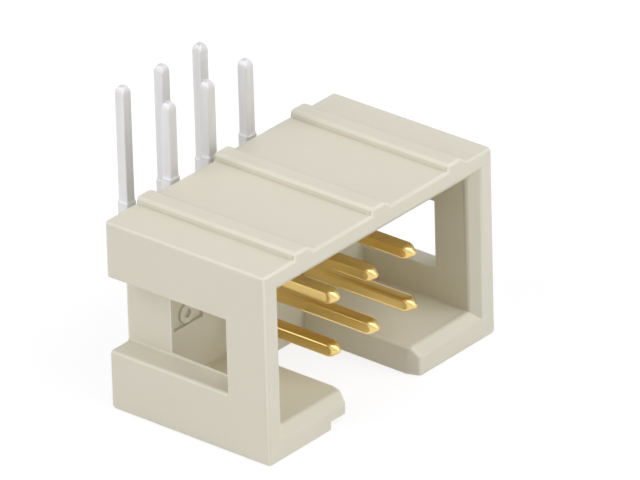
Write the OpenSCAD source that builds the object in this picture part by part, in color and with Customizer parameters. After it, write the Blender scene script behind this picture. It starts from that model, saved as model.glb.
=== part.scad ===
/* [Housing] */
// Length of the housing along the rows of contacts
body_l = 15.2; // [14:0.1:20]
// Depth of the housing from its mouth to its rear face
body_d = 8.8; // [8:0.1:12]
// Height of the housing without the standoff ribs
body_h = 9; // [8.6:0.1:11]
// Thickness of the two end walls
end_wall = 1.25; // [0.9:0.05:1.5]
// Thickness of the wall that faces the board
board_wall = 1.15; // [0.9:0.05:1.4]
// Thickness of the wall with the key slot
key_wall = 1.4; // [1:0.05:1.6]
// Thickness of the rear wall that holds the contacts
rear_wall = 2.48; // [1.6:0.02:3.2]
// Lead-in chamfer around the mouth of the cavity
lead_in = 0.45; // [0.2:0.05:0.6]

/* [Standoff ribs] */
// Height of the ribs that keep the housing off the board
rib_h = 0.3; // [0.15:0.05:0.6]
// Width of the flat top of each rib
rib_top_w = 0.85; // [0.5:0.05:1.4]
// Run of the steep flank of each rib
rib_steep_run = 0.08; // [0.02:0.02:0.3]
// Run of the gentle flank of each rib
rib_gentle_run = 0.45; // [0.1:0.05:0.8]
// Spacing of the three ribs
rib_pitch = 5.08; // [4:0.02:5.6]

/* [Key slot] */
// Width of the key slot in the wall away from the board
key_w = 4.5; // [3:0.1:6]
// Widening of the key slot on each side at the mouth
key_flare_w = 0.25; // [0.1:0.05:0.6]
// Length of the widening back from the mouth
key_flare_l = 0.7; // [0.3:0.05:1.5]

/* [End slots] */
// Height of the slot in each end wall
end_slot_h = 3.46; // [2:0.02:4.4]
// Rise of the middle of the slot above the middle of the housing
end_slot_rise = 0.05; // [0:0.01:0.2]
// Bevel in the corners between the sides of the slot and its floor
end_slot_bevel = 0.15; // [0.05:0.05:0.4]
// Front strip of end wall left between the slot and the mouth
end_slot_front = 2.3; // [1.5:0.1:3.5]

/* [Moulded marks] */
// Width of the triangle that marks the first contact
mark_w = 1.9; // [1:0.1:2.4]
// Length of the triangle back from the mouth
mark_l = 1.6; // [1:0.1:3]
// Depth of the triangle
mark_depth = 0.38; // [0.1:0.02:0.5]
// Width of the sunk panel in the cavity floor
panel_w = 1.9; // [1.2:0.1:2.2]
// Height of the sunk panel
panel_h = 1.6; // [1.2:0.1:2.4]
// Distance from the end wall to the sunk panel
panel_gap = 0.2; // [0.1:0.05:0.6]
// Depth of the sunk panel
panel_depth = 0.18; // [0.1:0.02:0.4]
// Outer radius of the round rim in the panel
rim_r = 0.46; // [0.36:0.02:0.56]
// Distance from the lower edge of the panel to the round rim
rim_gap = 0.06; // [0.02:0.02:0.2]
// Width of the round rim
rim_w = 0.26; // [0.1:0.02:0.3]
// Height of the round rim
rim_h = 0.14; // [0.06:0.02:0.2]

/* [Contacts] */
// Spacing of the contacts, along the rows and between the rows
pitch = 2.54; // [2:0.01:2.6]
// Width of the square contact wire
pin_w = 0.64; // [0.56:0.02:0.8]
// Chamfer along the edges of each contact in the cavity
wire_edge = 0.12; // [0.04:0.02:0.16]
// Distance of the contact tips behind the mouth
tip_inset = 0.22; // [0.1:0.02:2]
// Length of the rounded nose of each contact
tip_l = 0.55; // [0.3:0.05:0.9]
// Width of the flat at the end of each contact
tip_w = 0.2; // [0.1:0.02:0.4]
// Inner radius of the bend behind the housing
bend_r = 0.3; // [0.2:0.02:0.6]
// Side clearance of the contacts in the holes of the rear wall
hole_gap = 0.02; // [0.01:0.01:0.06]

/* [Tails] */
// Width of the square tail that passes through the board
tail_w = 0.5; // [0.36:0.02:0.52]
// Length of the tail above the rib tops
tail_l = 3.1; // [2:0.1:5]
// Height of the shoulder of each short contact above its row
short_shoulder_rise = 2.9; // [1.6:0.05:3.2]
// Height of the shoulder of each long contact above its row
long_shoulder_rise = 3.5; // [1.6:0.05:5]
// Length of the taper from the contact wire to the tail
shoulder_l = 0.28; // [0.06:0.02:0.4]
// Length of the rounded nose of each tail
tail_tip_l = 0.36; // [0.1:0.02:0.5]
// Width of the flat at the end of each tail
tail_tip_w = 0.22; // [0.1:0.02:0.34]

/* [Hidden] */
$fn = 48;
eps = 0.01;
nose_from = 20;
nose_to = 80;
nose_step = 20;
seat_z = body_h + rib_h;
cavity_l = body_l - 2 * end_wall;
cavity_h = body_h - board_wall - key_wall;
cavity_z = key_wall + cavity_h / 2;
row_z = [cavity_z + pitch / 2, cavity_z - pitch / 2];
columns = [-pitch, 0, pitch];
bend_mid = bend_r + pin_w / 2;
tail_y = [bend_mid, bend_mid + pitch];
shoulder_rise = [short_shoulder_rise, long_shoulder_rise];
rear_y = (body_d - tail_y[1] - pin_w / 2) / 2;
mouth_y = rear_y - body_d;
floor_y = rear_y - rear_wall;
tip_y = mouth_y + tip_inset;
tail_top = seat_z + tail_l;
plastic_colour = [0.84, 0.82, 0.76];
gold_colour = [0.79, 0.62, 0.27];

// Box given by its centre and size across, and its ends along depth and height
module block(x_mid, x_size, y0, y1, z0, z1) {
    translate([x_mid - x_size / 2, y0, z0])
        cube([x_size, y1 - y0, z1 - z0]);
}

// Solid of the lead-in around the mouth: two wedges that cross
module lead_in_cut() {
    reach = lead_in + eps;
    half_l = cavity_l / 2;
    cavity_top = key_wall + cavity_h;
    intersection() {
        translate([0, 0, key_wall - reach])
            linear_extrude(height = cavity_h + 2 * reach)
                polygon([[-half_l - reach, mouth_y - eps], [half_l + reach, mouth_y - eps],
                         [half_l, mouth_y + lead_in], [-half_l, mouth_y + lead_in]]);
        translate([-half_l - reach, 0, 0])
            rotate([90, 0, 90])
                linear_extrude(height = cavity_l + 2 * reach)
                    polygon([[mouth_y - eps, key_wall - reach], [mouth_y - eps, cavity_top + reach],
                             [mouth_y + lead_in, cavity_top], [mouth_y + lead_in, key_wall]]);
    }
}

// Slot through the key wall, from the cavity floor to the mouth
module key_slot_cut() {
    half_w = key_w / 2;
    flare = half_w + key_flare_w;
    translate([0, 0, -eps])
        linear_extrude(height = key_wall + 2 * eps)
            polygon([[-half_w, floor_y], [-half_w, mouth_y + key_flare_l],
                     [-flare, mouth_y], [-flare, mouth_y - eps],
                     [flare, mouth_y - eps], [flare, mouth_y],
                     [half_w, mouth_y + key_flare_l], [half_w, floor_y]]);
}

// Slot along the left end wall, open to the rear and through to the cavity
module end_slot_cut() {
    side = end_slot_h / 2;
    bevel_x = end_wall - end_slot_bevel;
    bevel_z = side - end_slot_bevel;
    translate([-body_l / 2, rear_y + eps, body_h / 2 + end_slot_rise])
        rotate([90, 0, 0])
            linear_extrude(height = body_d - end_slot_front + eps)
                polygon([[-eps, -side], [bevel_x, -side], [end_wall, -bevel_z],
                         [end_wall, bevel_z], [bevel_x, side], [-eps, side]]);
}

// Triangle beside the key slot that marks the first contact
module mark_cut() {
    translate([-pitch, 0, -eps])
        linear_extrude(height = mark_depth + eps)
            polygon([[-mark_w / 2, mouth_y - eps], [mark_w / 2, mouth_y - eps], [0, mouth_y + mark_l]]);
}

// Round bar along the depth, between two places
module round_bar(x, z, y0, y1, radius) {
    translate([x, y1, z])
        rotate([90, 0, 0])
            cylinder(r = radius, h = y1 - y0);
}

// Sunk panel with a round rim, in the cavity floor beside the first contacts
module panel_cut() {
    panel_x = panel_gap + panel_w / 2 - cavity_l / 2;
    panel_y = floor_y + panel_depth;
    panel_z = cavity_z - panel_h / 2;
    rim_y = panel_y - rim_h;
    rim_z = panel_z + rim_gap + rim_r;
    difference() {
        block(panel_x, panel_w, floor_y - eps, panel_y, panel_z, panel_z + panel_h);
        difference() {
            round_bar(panel_x, rim_z, rim_y, panel_y + eps, rim_r);
            round_bar(panel_x, rim_z, rim_y - eps, panel_y + 2 * eps, rim_r - rim_w);
        }
    }
}

// Rib that holds the housing off the board
module rib(x) {
    half_top = rib_top_w / 2;
    translate([x, rear_y, body_h])
        rotate([90, 0, 0])
            linear_extrude(height = body_d)
                polygon([[-half_top - rib_steep_run, -eps], [-half_top - rib_steep_run, 0], [-half_top, rib_h],
                         [half_top, rib_h], [half_top + rib_gentle_run, 0], [half_top + rib_gentle_run, -eps]]);
}

// Moulded housing with its cavity, slots and contact holes
module housing() {
    hole = pin_w + 2 * hole_gap;
    color(plastic_colour)
        difference() {
            union() {
                block(0, body_l, mouth_y, rear_y, 0, body_h);
                for (x = [-rib_pitch, 0, rib_pitch])
                    rib(x);
            }
            block(0, cavity_l, mouth_y - eps, floor_y, key_wall, key_wall + cavity_h);
            lead_in_cut();
            key_slot_cut();
            end_slot_cut();
            mirror([1, 0, 0])
                end_slot_cut();
            mark_cut();
            panel_cut();
            for (x = columns, z = row_z)
                block(x, hole, floor_y - eps, rear_y + eps, z - hole / 2, z + hole / 2);
        }
}

// Share of a nose's narrowing that is left at an angle along its arc
function nose_share(a) = (cos(a) - cos(nose_to)) / (cos(nose_from) - cos(nose_to));

// Share of a nose's length that is behind an angle along its arc
function nose_run(a) = (sin(a) - sin(nose_from)) / (sin(nose_to) - sin(nose_from));

// Places and widths along a rounded nose, from its wide to its narrow end
function nose(start, length, wide, narrow) =
    [for (a = [nose_from:nose_step:nose_to])
        [start + length * nose_run(a), narrow + (wide - narrow) * nose_share(a)]];

// Outline of a wire along +Y, from its places and widths
function outline(steps) = concat(
    [for (s = steps) [s[1] / 2, s[0]]],
    [for (i = [len(steps) - 1:-1:0]) [-steps[i][1] / 2, steps[i][0]]]);

// Flat plate with the outline of a wire
module wire_plate(steps) {
    translate([0, 0, -pin_w])
        linear_extrude(height = 2 * pin_w)
            polygon(outline(steps));
}

// Square wire along +Y from the origin: two crossing plates
module square_wire(steps) {
    intersection() {
        wire_plate(steps);
        rotate([0, 90, 0])
            wire_plate(steps);
    }
}

// Limits of the leg: square as far as the cavity floor, with chamfered edges from there on
module leg_limits(floor_l, leg_l) {
    reach = pin_w - wire_edge;
    block(0, 2 * pin_w, -eps, floor_l, -pin_w, pin_w);
    rotate([-90, 0, 0])
        linear_extrude(height = leg_l + eps)
            polygon([[reach, 0], [0, reach], [-reach, 0], [0, -reach]]);
}

// Bent contact of one row: leg in the cavity, quarter bend, tail up to the board
module contact(row, column) {
    behind = tail_y[row] - bend_mid;
    leg_l = rear_y - tip_y + behind;
    rise = tail_top - row_z[row] - bend_mid;
    neck = shoulder_rise[row] - bend_mid;
    color(gold_colour)
        translate([columns[column], rear_y + behind, row_z[row]]) {
            mirror([0, 1, 0])
                intersection() {
                    square_wire(concat([[0, pin_w]], nose(leg_l - tip_l, tip_l, pin_w, tip_w)));
                    leg_limits(rear_wall + behind, leg_l);
                }
            translate([0, 0, bend_mid])
                rotate([0, 90, 0])
                    rotate_extrude(angle = 90)
                        translate([bend_mid, 0])
                            square(pin_w, center = true);
            translate([0, bend_mid, bend_mid])
                rotate([90, 0, 0])
                    square_wire(concat([[0, pin_w], [neck, pin_w], [neck + shoulder_l, tail_w]],
                                       nose(rise - tail_tip_l, tail_tip_l, tail_w, tail_tip_w)));
        }
}

housing();
contact(0, 0);  // short_contact_1
contact(0, 1);  // short_contact_2
contact(0, 2);  // short_contact_3
contact(1, 0);  // long_contact_1
contact(1, 1);  // long_contact_2
contact(1, 2);  // long_contact_3
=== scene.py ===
"""Looks of a right-angle box header: plated contacts in a matte moulded housing, on a pale floor."""
import math

import bmesh
import bpy
from mathutils import Matrix, Vector
from mathutils.kdtree import KDTree


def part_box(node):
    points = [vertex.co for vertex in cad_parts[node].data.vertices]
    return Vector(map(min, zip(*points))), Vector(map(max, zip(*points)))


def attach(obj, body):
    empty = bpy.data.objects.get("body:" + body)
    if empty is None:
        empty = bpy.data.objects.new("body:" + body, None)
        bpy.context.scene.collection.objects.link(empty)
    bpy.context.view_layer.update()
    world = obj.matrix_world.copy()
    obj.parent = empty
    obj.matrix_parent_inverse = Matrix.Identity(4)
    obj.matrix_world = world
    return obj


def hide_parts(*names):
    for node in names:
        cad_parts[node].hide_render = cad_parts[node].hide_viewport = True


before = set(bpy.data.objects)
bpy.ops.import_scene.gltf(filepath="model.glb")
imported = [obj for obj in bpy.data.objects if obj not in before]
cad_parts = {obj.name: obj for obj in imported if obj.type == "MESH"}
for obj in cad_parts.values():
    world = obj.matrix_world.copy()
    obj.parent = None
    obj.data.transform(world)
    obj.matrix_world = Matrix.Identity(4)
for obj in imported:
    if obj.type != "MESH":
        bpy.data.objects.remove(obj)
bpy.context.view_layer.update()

MM = 0.001

# Rounded edges of the moulding
OUTER_RADIUS = 0.2 * MM
INNER_RADIUS = 0.09 * MM
EDGE_SHARE = 0.4
EDGE_STEPS = 6
SHARP_ANGLE = math.radians(25)
FLAT_ANGLE = math.radians(0.5)
MERGE_DISTANCE = 0.002 * MM
EDGE_SAMPLE = 0.05 * MM
EDGE_ANGLE = math.radians(60)
EDGE_BAND = 0.12 * MM
CREASE_END = 0.3 * MM
CREASE_SHORTEST = 3 * CREASE_END
HOLE_REACH = 0.4 * MM
CORNER_ANGLE = math.radians(50)

# Places of the housing's materials: plain faces, a painted highlight on outer edges, painted shade in
# inner corners
PLAIN_FACES, HIGHLIGHT_FACES, SHADE_FACES = range(3)

# Contact wire: the bend, the shoulder and the noses at both ends
BEND_RADIUS = 0.3 * MM
BEND_STEPS = 10
LEG_CORNER = 0.15 * MM
TAIL_CORNER = 0.045 * MM
CORNER_STEPS = 4
SHOULDER_RISE = {"short": 2.9 * MM, "long": 3.5 * MM}
SHOULDER_LENGTH = 0.3 * MM
SHOULDER_STEPS = 8
SHOULDER_HOLLOW = 3.5
TAIL_HALF = 0.25 * MM
LEG_NOSE = {"taper": 0.49 * MM, "cap": 0.06 * MM, "ends": (0.14 * MM, 0.12 * MM), "bow": 2.3}
TAIL_NOSE = {"taper": 0.32 * MM, "cap": 0.04 * MM, "ends": (0.14 * MM, 0.14 * MM), "bow": 2.2}
NOSE_CORNER = 0.98
LEG_ROUNDING = 3.0
TAIL_ROUNDING = 0.8
TAPER_STEPS = 8
CAP_STEPS = 5
CAP_TURN = math.radians(80)
PLATING_BORDER = 1.4 * MM

# Camera, from the photograph's viewing angle
CAMERA_AZIMUTH = math.radians(-49.572)
CAMERA_ELEVATION = math.radians(27.492)
CAMERA_ROLL = math.radians(-1.604)
CAMERA_TARGET = Vector((0.661, -2.243, 6.177)) * MM
CAMERA_DISTANCE = 424.54 * MM
CAMERA_LENS = 561.0
CAMERA_SENSOR = 36.0
CAMERA_CLIP = 1 * MM

# Studio, with the floor and the cards in metres and the lamps in millimetres
FLOOR_SIZE = 3.0
FLOOR_COLOUR = (0.8, 0.8, 0.8, 1.0)
FLOOR_SHADOW = 0.25
FLOOR_GLOW = 0.8
CARDS = {
    "backdrop": {"place": Vector((0.38, 0.32, 0)), "width": 1.2, "height": 1.2},
    "front_card": {"place": Vector((-0.57, -0.49, 0)), "width": 1.2, "height": 1.2},
}
SKY_LIGHT = 0.365
LIGHT_COLOUR = (1.0, 1.0, 1.075)
LAMPS = {
    "left_lamp": {"place": Vector((-267, 106, 200)), "width": 300, "height": 300, "power": 0.61},
    "high_lamp": {"place": Vector((-32, -190, 292)), "width": 260, "height": 150, "power": 0.25},
    "front_lamp": {"place": Vector((18, -332, 88)), "width": 200, "height": 120, "power": 0.15},
    "right_lamp": {"place": Vector((122, -217, 210)), "width": 300, "height": 260, "power": 0.33},
    "back_lamp": {"place": Vector((210, 105, 259)), "width": 200, "height": 200, "power": 0.08},
}

# Colours, linear
PLASTIC = (0.70, 0.665, 0.52, 1.0)
PLASTIC_DEEP = (0.685, 0.65, 0.50, 1.0)
# Lighter outer edges than the faces: a painted highlight
HIGHLIGHT_PAINT = (0.77, 0.74, 0.59, 1.0)
HIGHLIGHT_PAINT_DEEP = (0.755, 0.725, 0.575, 1.0)
# Darker inner corners than the faces: painted shade
SHADE_PAINT = (0.62, 0.58, 0.435, 1.0)
SHADE_PAINT_DEEP = (0.60, 0.56, 0.415, 1.0)
GOLD = (0.93, 0.69, 0.27, 1.0)
GOLD_WORN = (0.86, 0.62, 0.22, 1.0)
TIN = (0.82, 0.81, 0.79, 1.0)
TIN_DULL = (0.72, 0.71, 0.68, 1.0)

# Surfaces: scale and kind of the noise, height of the bump, shine
COLOUR_STOPS = (0.3, 0.7)
NOISE_DETAIL = 3.0
NOISE_ROUGHNESS = 0.6
NO_STRETCH = (1.0, 1.0, 1.0)
MOTTLE_SCALE = 260.0
GRAIN_SCALE = 9000.0
GRAIN_DETAIL = 2.0
GRAIN_STRENGTH = 0.12
GRAIN_HEIGHT = 0.004 * MM
PLASTIC_ROUGHNESS = (0.42, 0.52)
DRAWN_SCALE = 1500.0
DRAWN_STRENGTH = 0.10
DRAWN_HEIGHT = 0.003 * MM
GOLD_PLATING = {"metallic": 1.0, "roughness": (0.19, 0.29), "stretch": (1.0, 0.06, 1.0)}
TIN_PLATING = {"metallic": 0.6, "roughness": (0.45, 0.58), "stretch": (1.0, 1.0, 0.08)}


def node_material(name):
    """A material with a Principled shader, and a function that adds a node with its values."""
    made = bpy.data.materials.new(name)
    made.use_nodes = True
    tree = made.node_tree
    shader = tree.nodes["Principled BSDF"]

    def add(kind, **values):
        node = tree.nodes.new(kind)
        for key, value in values.items():
            if key in node.inputs:
                node.inputs[key].default_value = value
            else:
                setattr(node, key, value)
        return node

    return made, tree.links, shader, add


def mottle(links, add, scale, stretch, detail=NOISE_DETAIL):
    """Noise in object space, stretched along the axes."""
    place = add("ShaderNodeTexCoord")
    spread = add("ShaderNodeMapping", Scale=stretch)
    noise = add("ShaderNodeTexNoise", Scale=scale, Detail=detail, Roughness=NOISE_ROUGHNESS)
    links.new(place.outputs["Object"], spread.inputs["Vector"])
    links.new(spread.outputs["Vector"], noise.inputs["Vector"])
    return noise


def colour_range(links, add, noise, colours):
    """Colour between two values, led by a noise."""
    ramp = add("ShaderNodeValToRGB")
    for element, position, colour in zip(ramp.color_ramp.elements, COLOUR_STOPS, colours):
        element.position = position
        element.color = colour
    links.new(noise.outputs["Fac"], ramp.inputs["Fac"])
    return ramp.outputs["Color"]


def rough_range(links, add, noise, low, high):
    """Roughness between two values, led by a noise."""
    spread = add("ShaderNodeMapRange")
    spread.inputs["To Min"].default_value = low
    spread.inputs["To Max"].default_value = high
    links.new(noise.outputs["Fac"], spread.inputs["Value"])
    return spread.outputs["Result"]


def moulded_plastic(name, colours):
    """Matte moulding with a faint mottle and a fine grain."""
    made, links, shader, add = node_material(name)
    noise = mottle(links, add, MOTTLE_SCALE, NO_STRETCH)
    grain = mottle(links, add, GRAIN_SCALE, NO_STRETCH, detail=GRAIN_DETAIL)
    bump = add("ShaderNodeBump", Strength=GRAIN_STRENGTH, Distance=GRAIN_HEIGHT)
    links.new(grain.outputs["Fac"], bump.inputs["Height"])
    links.new(bump.outputs["Normal"], shader.inputs["Normal"])
    links.new(colour_range(links, add, noise, colours), shader.inputs["Base Color"])
    links.new(rough_range(links, add, noise, *PLASTIC_ROUGHNESS), shader.inputs["Roughness"])
    return made


def plating(name, colours, metallic, roughness, stretch):
    """Plated wire with drawing marks along it."""
    made, links, shader, add = node_material(name)
    shader.inputs["Metallic"].default_value = metallic
    noise = mottle(links, add, DRAWN_SCALE, stretch)
    bump = add("ShaderNodeBump", Strength=DRAWN_STRENGTH, Distance=DRAWN_HEIGHT)
    links.new(noise.outputs["Fac"], bump.inputs["Height"])
    links.new(bump.outputs["Normal"], shader.inputs["Normal"])
    links.new(colour_range(links, add, noise, colours), shader.inputs["Base Color"])
    links.new(rough_range(links, add, noise, *roughness), shader.inputs["Roughness"])
    return made


def seen_directly(tree):
    """One where a camera, glossy or transmission ray looks, and nought for other light."""
    path = tree.nodes.new("ShaderNodeLightPath")
    either = tree.nodes.new("ShaderNodeMath")
    either.operation = "MAXIMUM"
    any_of = tree.nodes.new("ShaderNodeMath")
    any_of.operation = "MAXIMUM"
    tree.links.new(path.outputs["Is Camera Ray"], either.inputs[0])
    tree.links.new(path.outputs["Is Glossy Ray"], either.inputs[1])
    tree.links.new(either.outputs[0], any_of.inputs[0])
    tree.links.new(path.outputs["Is Transmission Ray"], any_of.inputs[1])
    return any_of.outputs[0]


def pale_floor():
    """Floor that looks white and still takes the object's shadow."""
    made = bpy.data.materials.new("pale_floor")
    made.use_nodes = True
    tree = made.node_tree
    tree.nodes.remove(tree.nodes["Principled BSDF"])
    plain = tree.nodes.new("ShaderNodeBsdfDiffuse")
    plain.inputs["Color"].default_value = FLOOR_COLOUR
    shaded = tree.nodes.new("ShaderNodeBsdfDiffuse")
    shaded.inputs["Color"].default_value = (FLOOR_SHADOW, FLOOR_SHADOW, FLOOR_SHADOW, 1.0)
    glow = tree.nodes.new("ShaderNodeEmission")
    glow.inputs["Strength"].default_value = FLOOR_GLOW
    both = tree.nodes.new("ShaderNodeAddShader")
    mix = tree.nodes.new("ShaderNodeMixShader")
    tree.links.new(shaded.outputs[0], both.inputs[0])
    tree.links.new(glow.outputs[0], both.inputs[1])
    tree.links.new(seen_directly(tree), mix.inputs["Fac"])
    tree.links.new(plain.outputs[0], mix.inputs[1])
    tree.links.new(both.outputs[0], mix.inputs[2])
    tree.links.new(mix.outputs[0], tree.nodes["Material Output"].inputs["Surface"])
    return made


def contact_nodes():
    """Names of the contacts, in a fixed order."""
    return [node for node in sorted(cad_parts) if "contact" in node]


def new_object(name, data):
    """Object with the given mesh, lamp or camera, in the scene."""
    made = bpy.data.objects.new(name, data)
    bpy.context.scene.collection.objects.link(made)
    return made


def face_normals(piece):
    """Smooth shading that keeps flat faces flat and unrounded corners sharp."""
    form = bmesh.new()
    form.from_mesh(piece.data)
    for face in form.faces:
        face.smooth = True
    for edge in form.edges:
        edge.smooth = edge.calc_face_angle(0.0) < CORNER_ANGLE
    form.to_mesh(piece.data)
    form.free()
    weighted = piece.modifiers.new("flat_faces", "WEIGHTED_NORMAL")
    weighted.keep_sharp = True


def gap_between(edge, other):
    """Distance between two straight edges, taken at their ends."""
    gaps = []
    for first, second in ((edge, other), (other, edge)):
        start = second.verts[0].co
        run = second.verts[1].co - start
        for vert in first.verts:
            share = (vert.co - start).dot(run) / run.length_squared
            gaps.append((vert.co - start - run * min(1.0, max(0.0, share))).length)
    return min(gaps)


def edge_room(edge):
    """How far an edge lies from the nearest other edge across its two faces."""
    others = {e for face in edge.link_faces for e in face.edges}
    apart = [e for e in others if not set(e.verts) & set(edge.verts)]
    return min(gap_between(edge, e) for e in apart)


def in_contact_hole(edge):
    """Whether an edge belongs to a hole that holds a contact."""
    for node in contact_nodes():
        low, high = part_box(node)
        x, z = (low.x + high.x) / 2, low.z + (high.x - low.x) / 2
        if all(abs(v.co.x - x) < HOLE_REACH and abs(v.co.z - z) < HOLE_REACH for v in edge.verts):
            return True
    return False


def edge_offset(edge):
    """How far to cut back an edge on each of its faces: outer edges are rounder than inner ones."""
    angle = edge.calc_face_angle_signed()
    if -EDGE_ANGLE < angle < SHARP_ANGLE or in_contact_hole(edge):
        return 0.0
    radius = OUTER_RADIUS if angle > 0 else INNER_RADIUS
    return min(radius * math.tan(abs(angle) / 2), EDGE_SHARE * edge_room(edge))


def end_creases(form, weight):
    """Leave an inner edge sharp at its end where it meets two outer edges, so that nothing folds."""
    for edge in list(form.edges):
        if edge.calc_face_angle_signed() > 0 or not edge[weight]:
            continue
        for vert in list(edge.verts):
            outer = [e for e in vert.link_edges if e.calc_face_angle_signed() > SHARP_ANGLE]
            if len(outer) < 2:
                continue
            if edge.calc_length() < CREASE_SHORTEST:
                edge[weight] = 0.0
                break
            end, _ = bmesh.utils.edge_split(edge, vert, CREASE_END / edge.calc_length())
            end[weight] = 0.0


def edge_kind(angle):
    """Place of an edge's material: plain where it is gentle, else a painted highlight outside and
    painted shade in a corner.
    """
    if abs(angle) < EDGE_ANGLE:
        return PLAIN_FACES
    return HIGHLIGHT_FACES if angle > 0 else SHADE_FACES


def edge_kinds(form):
    """Search tree of points along the edges, and the place of the material for each point."""
    points, kinds = [], []
    for edge in form.edges:
        angle = edge.calc_face_angle_signed()
        if abs(angle) < SHARP_ANGLE:
            continue
        steps = math.ceil(edge.calc_length() / EDGE_SAMPLE)
        for i in range(steps + 1):
            points.append(edge.verts[0].co.lerp(edge.verts[1].co, i / steps))
            kinds.append(edge_kind(angle))
    tree = KDTree(len(points))
    for i, point in enumerate(points):
        tree.insert(point, i)
    tree.balance()
    return tree, kinds


def weighted_form(solid):
    """The housing's faces without seams, and for each edge how far it is cut back."""
    form = bmesh.new()
    form.from_mesh(solid)
    bmesh.ops.remove_doubles(form, verts=form.verts, dist=MERGE_DISTANCE)
    bmesh.ops.dissolve_limit(form, angle_limit=FLAT_ANGLE, verts=form.verts, edges=form.edges)
    weight = form.edges.layers.float.new("bevel_weight_edge")
    for edge in form.edges:
        edge[weight] = min(1.0, edge_offset(edge) / OUTER_RADIUS)
    end_creases(form, weight)
    return form


def round_edges(piece):
    """Cut back the edges and keep the result as the piece's mesh."""
    bevel = piece.modifiers.new("rounded_edges", "BEVEL")
    bevel.limit_method = "WEIGHT"
    bevel.width = OUTER_RADIUS
    bevel.segments = EDGE_STEPS
    bevel.use_clamp_overlap = False
    # Every new edge face first takes the painted highlight
    bevel.material = HIGHLIGHT_FACES
    shaped = piece.evaluated_get(bpy.context.evaluated_depsgraph_get())
    piece.data = bpy.data.meshes.new_from_object(shaped)
    piece.modifiers.remove(bevel)


def moulded_housing(materials):
    """The housing with edges as round as its faces allow, with a painted highlight on outer edges and
    painted shade in inner corners.
    """
    mesh = bpy.data.meshes.new("moulded_housing")
    form = weighted_form(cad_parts["housing"].data)
    tree, kinds = edge_kinds(form)
    form.to_mesh(mesh)
    form.free()
    mesh.materials.clear()
    for material in materials:
        mesh.materials.append(material)
    piece = new_object("moulded_housing", mesh)
    round_edges(piece)
    # Outer edges keep the painted highlight, inner corners take painted shade, and faces far from a
    # sharp edge stay plain
    for polygon in piece.data.polygons:
        if polygon.material_index == HIGHLIGHT_FACES:
            _, nearest, away = tree.find(polygon.center)
            polygon.material_index = kinds[nearest] if away < EDGE_BAND else PLAIN_FACES
    face_normals(piece)
    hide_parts("housing")
    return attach(piece, "root")


def nose(half, taper, cap, ends, bow):
    """Places along a nose with the two half widths there: a bowed taper, then a round cap."""
    steps = []
    for i in range(TAPER_STEPS + 1):
        gone = (i / TAPER_STEPS) ** bow
        steps.append((taper * i / TAPER_STEPS, [half + (end - half) * gone for end in ends]))
    for i in range(1, CAP_STEPS + 1):
        turn = CAP_TURN * i / CAP_STEPS
        place = taper + cap * math.sin(turn) / math.sin(CAP_TURN)
        steps.append((place, [end * math.cos(turn) for end in ends]))
    return steps


def nose_corner(halves, half, corner, rounding):
    """Corner radius in a nose, which gets rounder towards its end."""
    gone = min(1.0, rounding * (1 - min(halves) / half))
    return min(halves) * (corner / half + (NOSE_CORNER - corner / half) * gone)


def ring(centre, along, halves, corner):
    """Rounded oblong across a wire: its points, their outward directions and the wire's direction."""
    across = Vector((1, 0, 0))
    upward = across.cross(along)
    points, outward = [], []
    for quarter, (side, rise) in enumerate(((1, 1), (-1, 1), (-1, -1), (1, -1))):
        for step in range(CORNER_STEPS + 1):
            turn = (quarter + step / CORNER_STEPS) * math.pi / 2
            away = across * math.cos(turn) + upward * math.sin(turn)
            flat = across * side * (halves[0] - corner) + upward * rise * (halves[1] - corner)
            points.append(centre + flat + away * corner)
            outward.append(away)
    return points, outward, along


def contact_rings(node):
    """Rings along a contact, from its tip in the cavity to the end of its tail."""
    low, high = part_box(node)
    half = (high.x - low.x) / 2
    x = (high.x + low.x) / 2
    row_z = low.z + half
    tail_y = high.y - half
    middle = BEND_RADIUS + half
    back, up = Vector((0, 1, 0)), Vector((0, 0, 1))
    tip = nose(half, **LEG_NOSE)
    nose_y = low.y + tip[-1][0]
    rings = []
    for place, halves in reversed(tip):
        corner = nose_corner(halves, half, LEG_CORNER, LEG_ROUNDING)
        rings.append(ring(Vector((x, nose_y - place, row_z)), back, halves, corner))
    rings.append(ring(Vector((x, PLATING_BORDER, row_z)), back, (half, half), LEG_CORNER))
    gold_rings = len(rings) - 1
    pivot = Vector((x, tail_y - middle, row_z + middle))
    for i in range(BEND_STEPS + 1):
        turn = math.pi / 2 * i / BEND_STEPS
        along = back * math.cos(turn) + up * math.sin(turn)
        place = pivot + (back * math.sin(turn) - up * math.cos(turn)) * middle
        rings.append(ring(place, along, (half, half), LEG_CORNER))
    shoulder_z = row_z + SHOULDER_RISE[node.split("_")[0]]
    for i in range(SHOULDER_STEPS + 1):
        share = i / SHOULDER_STEPS
        left = (1 - share) ** SHOULDER_HOLLOW
        corner = TAIL_CORNER + (LEG_CORNER - TAIL_CORNER) * left
        wide = TAIL_HALF + (half - TAIL_HALF) * left
        place = Vector((x, tail_y, shoulder_z + SHOULDER_LENGTH * share))
        rings.append(ring(place, up, (wide, wide), corner))
    end = nose(TAIL_HALF, **TAIL_NOSE)
    nose_z = high.z - end[-1][0]
    for place, halves in end:
        corner = nose_corner(halves, TAIL_HALF, TAIL_CORNER, TAIL_ROUNDING)
        rings.append(ring(Vector((x, tail_y, nose_z + place)), up, halves, corner))
    return rings, gold_rings


def wire_normals(rings):
    """Normal of each point: its outward direction, tilted where the wire gets wider or narrower."""
    normals = []
    last = len(rings) - 1
    for i, (_, outward, along) in enumerate(rings):
        before, after = rings[max(i - 1, 0)][0], rings[min(i + 1, last)][0]
        for away, start, stop in zip(outward, before, after):
            run = stop - start
            normals.append((away - along * (away.dot(run) / along.dot(run))).normalized())
    return normals


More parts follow.
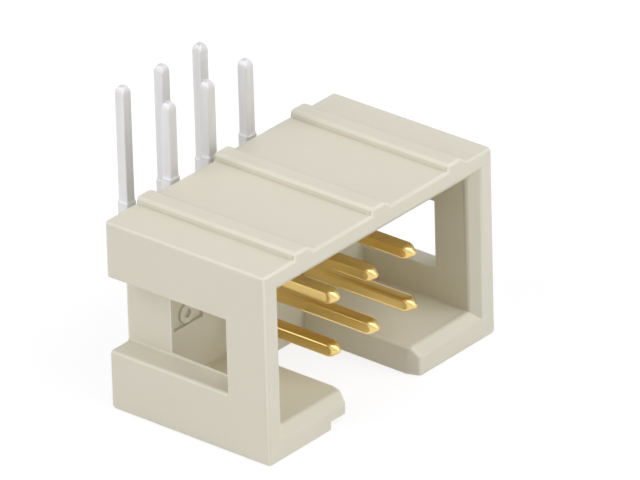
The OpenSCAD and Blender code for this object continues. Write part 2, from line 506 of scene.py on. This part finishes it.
def bent_contact(node, materials):
    """One contact as a rounded square wire, gold in the cavity and tin behind it."""
    rings, gold_rings = contact_rings(node)
    count = len(rings[0][0])
    faces = [tuple(range(count))]
    for i in range(len(rings) - 1):
        first, second = i * count, (i + 1) * count
        for j in range(count):
            k = (j + 1) % count
            faces.append((first + k, first + j, second + j, second + k))
    faces.append(tuple(reversed(range((len(rings) - 1) * count, len(rings) * count))))
    mesh = bpy.data.meshes.new("plated_" + node)
    mesh.from_pydata([point for points, _, _ in rings for point in points], [], faces)
    for material in materials:
        mesh.materials.append(material)
    for polygon in mesh.polygons:
        polygon.use_smooth = True
        polygon.material_index = int(min(polygon.vertices) >= gold_rings * count)
    mesh.normals_split_custom_set_from_vertices(wire_normals(rings))
    piece = new_object("plated_" + node, mesh)
    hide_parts(node)
    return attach(piece, "root")


def soft_light(name, place, width, height, power):
    """Lamp with a flat, oblong face that is turned to the object, with sizes in millimetres."""
    data = bpy.data.lights.new(name, "AREA")
    data.shape = "RECTANGLE"
    data.size = width * MM
    data.size_y = height * MM
    data.energy = power
    data.color = LIGHT_COLOUR
    lamp = new_object(name, data)
    lamp.location = place * MM
    lamp.rotation_mode = "QUATERNION"
    lamp.rotation_quaternion = (CAMERA_TARGET - place * MM).to_track_quat("-Z", "Y")


def sheet(name, width, height, material):
    """Flat oblong of the stage."""
    mesh = bpy.data.meshes.new(name)
    corners = [(x * width / 2, y * height / 2, 0) for x, y in ((-1, -1), (1, -1), (1, 1), (-1, 1))]
    mesh.from_pydata(corners, [], [(0, 1, 2, 3)])
    mesh.materials.append(material)
    made = new_object(name, mesh)
    return made


def studio():
    """Floor, cards, sky and lamps."""
    pale = pale_floor()
    sheet("floor", FLOOR_SIZE, FLOOR_SIZE, pale)
    for name, values in CARDS.items():
        card = sheet(name, values["width"], values["height"], pale)
        card.location = values["place"]
        card.rotation_mode = "QUATERNION"
        card.rotation_quaternion = (-values["place"]).to_track_quat("Z", "Y")
    world = bpy.data.worlds.new("studio")
    bpy.context.scene.world = world
    world.use_nodes = True
    light = world.node_tree.nodes["Background"]
    light.inputs["Color"].default_value = (*LIGHT_COLOUR, 1.0)
    light.inputs["Strength"].default_value = SKY_LIGHT
    for name, values in LAMPS.items():
        soft_light(name, **values)


def camera():
    """Long lens on the photograph's line of sight."""
    level = math.cos(CAMERA_ELEVATION)
    back = Vector((math.sin(CAMERA_AZIMUTH) * level, -math.cos(CAMERA_AZIMUTH) * level,
                   math.sin(CAMERA_ELEVATION)))
    right = Vector((math.cos(CAMERA_AZIMUTH), math.sin(CAMERA_AZIMUTH), 0))
    right = Matrix.Rotation(CAMERA_ROLL, 3, back) @ right
    up = back.cross(right)
    data = bpy.data.cameras.new("camera")
    data.sensor_width = CAMERA_SENSOR
    data.lens = CAMERA_LENS
    data.clip_start = CAMERA_CLIP
    made = new_object("camera", data)
    made.matrix_world = Matrix.Translation(CAMERA_TARGET + back * CAMERA_DISTANCE) @ \
        Matrix((right, up, back)).transposed().to_4x4()
    bpy.context.scene.camera = made


bpy.context.scene.view_settings.view_transform = "Standard"
camera()
studio()
# Plain plastic, then a painted highlight for outer edges and painted shade for inner corners
moulded_housing([moulded_plastic("moulded_plastic", (PLASTIC_DEEP, PLASTIC)),
                 moulded_plastic("painted_edge_highlight", (HIGHLIGHT_PAINT_DEEP, HIGHLIGHT_PAINT)),
                 moulded_plastic("painted_crease_shade", (SHADE_PAINT_DEEP, SHADE_PAINT))])
plated = [plating("gold_plating", (GOLD_WORN, GOLD), **GOLD_PLATING),
          plating("tin_plating", (TIN_DULL, TIN), **TIN_PLATING)]
for node in contact_nodes():
    bent_contact(node, plated)
